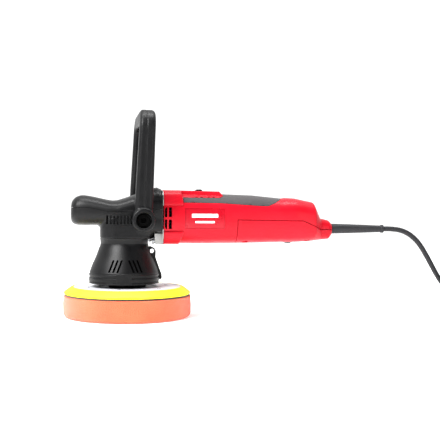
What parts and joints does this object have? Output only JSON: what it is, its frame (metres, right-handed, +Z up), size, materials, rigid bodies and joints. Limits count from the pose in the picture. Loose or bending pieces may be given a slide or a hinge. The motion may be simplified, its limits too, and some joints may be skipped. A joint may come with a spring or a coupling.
{
  "type": "dual action polisher",
  "caption": "Corded orbital polisher: motor barrel, geared head, bell shroud, freely turning foam pad on an eccentric spindle, tilting D-handle and coiled mains cord.",
  "frame": {"origin": "on the main spindle's axis, at the pad's working face, which rests on the bench", "axes": "+Z up along the spindle, +X to the rear towards the cord, the middle plane is Y = 0"},
  "size_m": [0.5583, 0.1696, 0.2395],
  "materials": {
    "red_shell": "satin moulded plastic with a fine grain",
    "label": "smooth printed plate",
    "black_plastic": "fine textured moulded plastic",
    "soft_grip": "matt overmoulded rubber",
    "cord_rubber": "matt rubber",
    "aluminium": "cast, fine blasted",
    "steel": "turned and ground",
    "laminations": "stacked sheet steel",
    "copper": "enamelled winding wire",
    "brass": "pressed sheet",
    "carbon": "pressed graphite",
    "white_plastic": "glass filled moulding",
    "yellow_cushion": "skinned polyurethane foam",
    "hook": "hook and loop layer",
    "foam": "open cell polishing foam"
  },
  "bodies": {
    "housing": {"lower_spindle_bearing": "steel", "upper_spindle_bearing": "steel", "gear_case": "aluminium", "bearing_retainer": "aluminium", "front_armature_bearing": "steel", "case_screw_1": "steel", "case_screw_2": "steel", "case_screw_3": "steel", "case_screw_4": "steel", "shroud": "black_plastic", "head_upper_cover": "black_plastic", "head_lower_cover": "black_plastic", "handle_bolt_left": "steel", "handle_bolt_right": "steel", "soft_grip": "soft_grip", "motor_housing": "red_shell", "rear_lower_cover": "red_shell", "label_plate": "label", "rear_cover_screw_1": "steel", "rear_cover_screw_2": "steel", "rear_cover_screw_3": "steel", "rear_cover_screw_4": "steel", "stator_core": "laminations", "field_coil_upper": "copper", "field_coil_lower": "copper", "air_baffle": "black_plastic", "rear_armature_bearing": "steel", "brush_holder_left": "brass", "brush_holder_right": "brass", "carbon_brush_left": "carbon", "carbon_brush_right": "carbon", "switch_module": "black_plastic", "speed_module": "black_plastic", "cord_clamp": "black_plastic", "cord_guard": "cord_rubber", "cord_run": "cord_rubber", "cord_coil": "cord_rubber", "plug_body": "cord_rubber", "plug_pin_1": "steel", "plug_pin_2": "steel"},
    "pad": {"foam_pad": "foam", "hook_layer": "hook", "plate_cushion": "yellow_cushion", "plate_disc": "white_plastic", "plate_hub": "black_plastic", "stub_spindle": "steel"},
    "spindle": {"main_spindle": "steel", "ring_gear": "steel", "counterweight": "steel", "stub_bearing": "steel"},
    "armature": {"armature_shaft": "steel", "armature_core": "laminations", "armature_windings": "copper", "commutator": "copper", "cooling_fan": "white_plastic", "drive_pinion": "steel"},
    "handle": {"d_handle": "black_plastic"},
    "switch": {"switch_knob": "black_plastic", "switch_link": "black_plastic"},
    "dial": {"speed_dial": "black_plastic"}
  },
  "joints": [
    {"name": "spindle_turn", "type": "hinge", "parent": "housing", "child": "spindle", "pos_m": [0, 0, 0.1175], "axis": [0, 0, 1], "continuous": true},
    {"name": "pad_turn", "type": "hinge", "parent": "spindle", "child": "pad", "pos_m": [0.004, 0, 0.068], "axis": [0, 0, 1], "continuous": true},
    {"name": "armature_turn", "type": "hinge", "parent": "housing", "child": "armature", "pos_m": [0.08, 0, 0.1175], "axis": [1, 0, 0], "continuous": true},
    {"name": "handle_tilt", "type": "hinge", "parent": "housing", "child": "handle", "pos_m": [0.0184, 0, 0.114], "axis": [0, 1, 0], "range_deg": [-60, 40]},
    {"name": "switch_slide", "type": "slide", "parent": "housing", "child": "switch", "axis": [1, 0, 0], "range_m": [-0.006, 0]},
    {"name": "dial_turn", "type": "hinge", "parent": "housing", "child": "dial", "pos_m": [0.197, 0, 0.0999], "axis": [0, 1, 0], "range_deg": [0, 270]}
  ],
  "couplings": [
    {"joint": "armature_turn", "follows": "spindle_turn", "ratio": 3}
  ]
}
